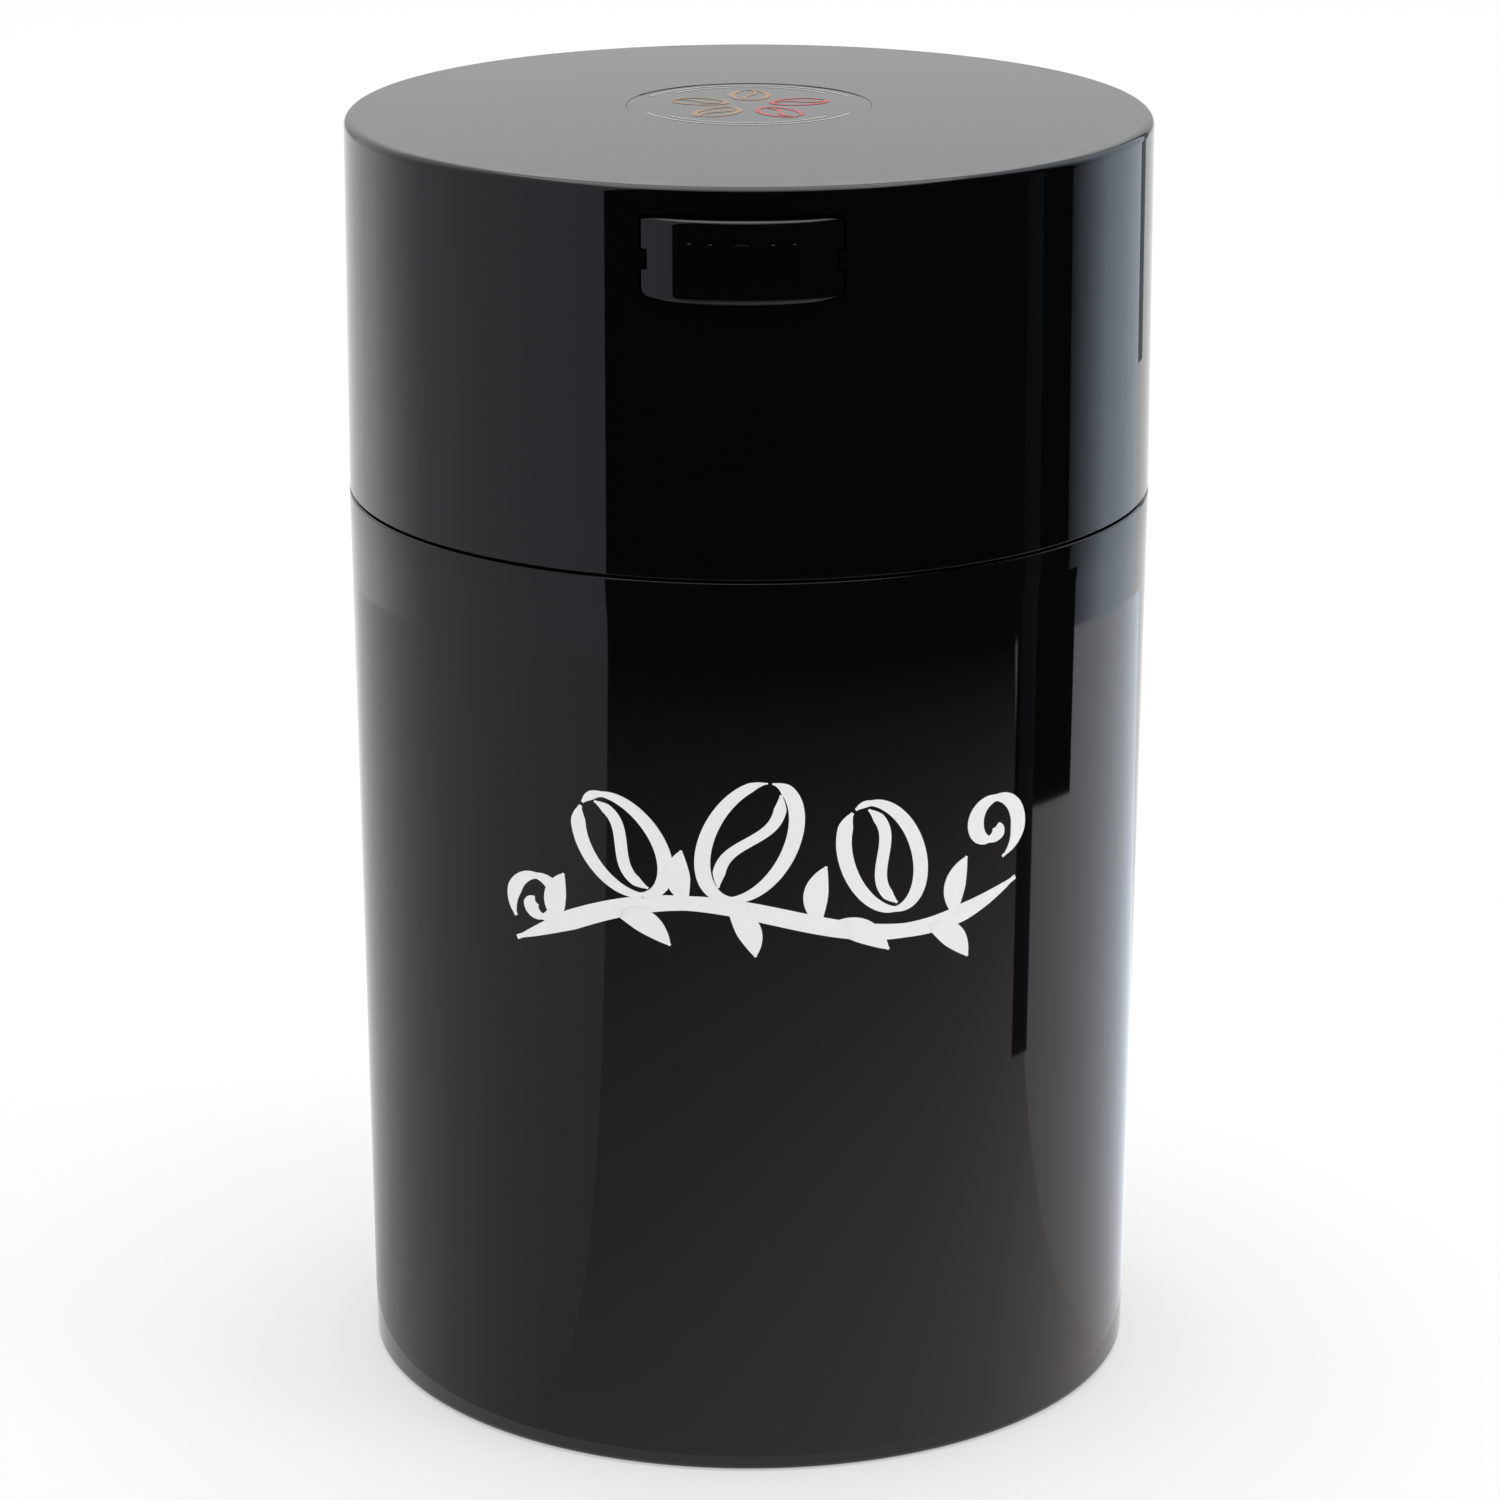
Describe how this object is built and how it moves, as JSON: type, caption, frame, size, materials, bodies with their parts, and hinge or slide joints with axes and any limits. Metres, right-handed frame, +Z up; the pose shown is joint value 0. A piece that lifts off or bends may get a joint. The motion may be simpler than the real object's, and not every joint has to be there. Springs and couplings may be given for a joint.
{
  "type": "coffee canister with valve",
  "caption": "Round lidded coffee canister: straight-sided body with a neck, tall lift-off cap with a gasket, and a push button that opens a small air valve.",
  "frame": {"origin": "on the table, under the middle of the canister", "axes": "+Z up along the canister's axis, the button faces -Y, +X to the right seen from the button's side"},
  "size_m": [0.1206, 0.1227, 0.194],
  "materials": {
    "body_gloss": "polished black",
    "cap_gloss": "polished black",
    "button_gloss": "polished black",
    "inlay": "printed and clear coated",
    "inner_black": "fine texture",
    "silicone": "matte, milky",
    "valve_silicone": "matte",
    "acetal": "smooth, waxy",
    "spring_steel": "drawn wire"
  },
  "bodies": {
    "canister": {"body_shell": "body_gloss", "neck_collar": "inner_black"},
    "seal": {"lid_gasket": "silicone"},
    "lid": {"cap_shell": "cap_gloss", "top_label": "inlay", "inner_cap": "inner_black", "button_springs": "spring_steel", "valve_spring": "spring_steel"},
    "button": {"button": "button_gloss"},
    "valve": {"valve_stem": "acetal", "valve_plug": "valve_silicone"}
  },
  "joints": [
    {"name": "lid_lift", "type": "slide", "parent": "canister", "child": "seal", "axis": [0, 0, 1], "range_m": [0, 0.07]},
    {"name": "lid_turn", "type": "hinge", "parent": "seal", "child": "lid", "pos_m": [0, 0, 0.17], "axis": [0, 0, 1], "continuous": true},
    {"name": "button_press", "type": "slide", "parent": "lid", "child": "button", "axis": [0, 1, 0], "range_m": [0, 0.0025], "stiffness_N_per_m": 800, "springref_m": -0.002, "deforming": ["button_springs"]},
    {"name": "valve_lift", "type": "slide", "parent": "lid", "child": "valve", "axis": [0, 0, 1], "range_m": [0, 0.00175], "deforming": ["valve_spring"]}
  ],
  "couplings": [
    {"joint": "valve_lift", "follows": "button_press", "ratio": 0.70021}
  ]
}
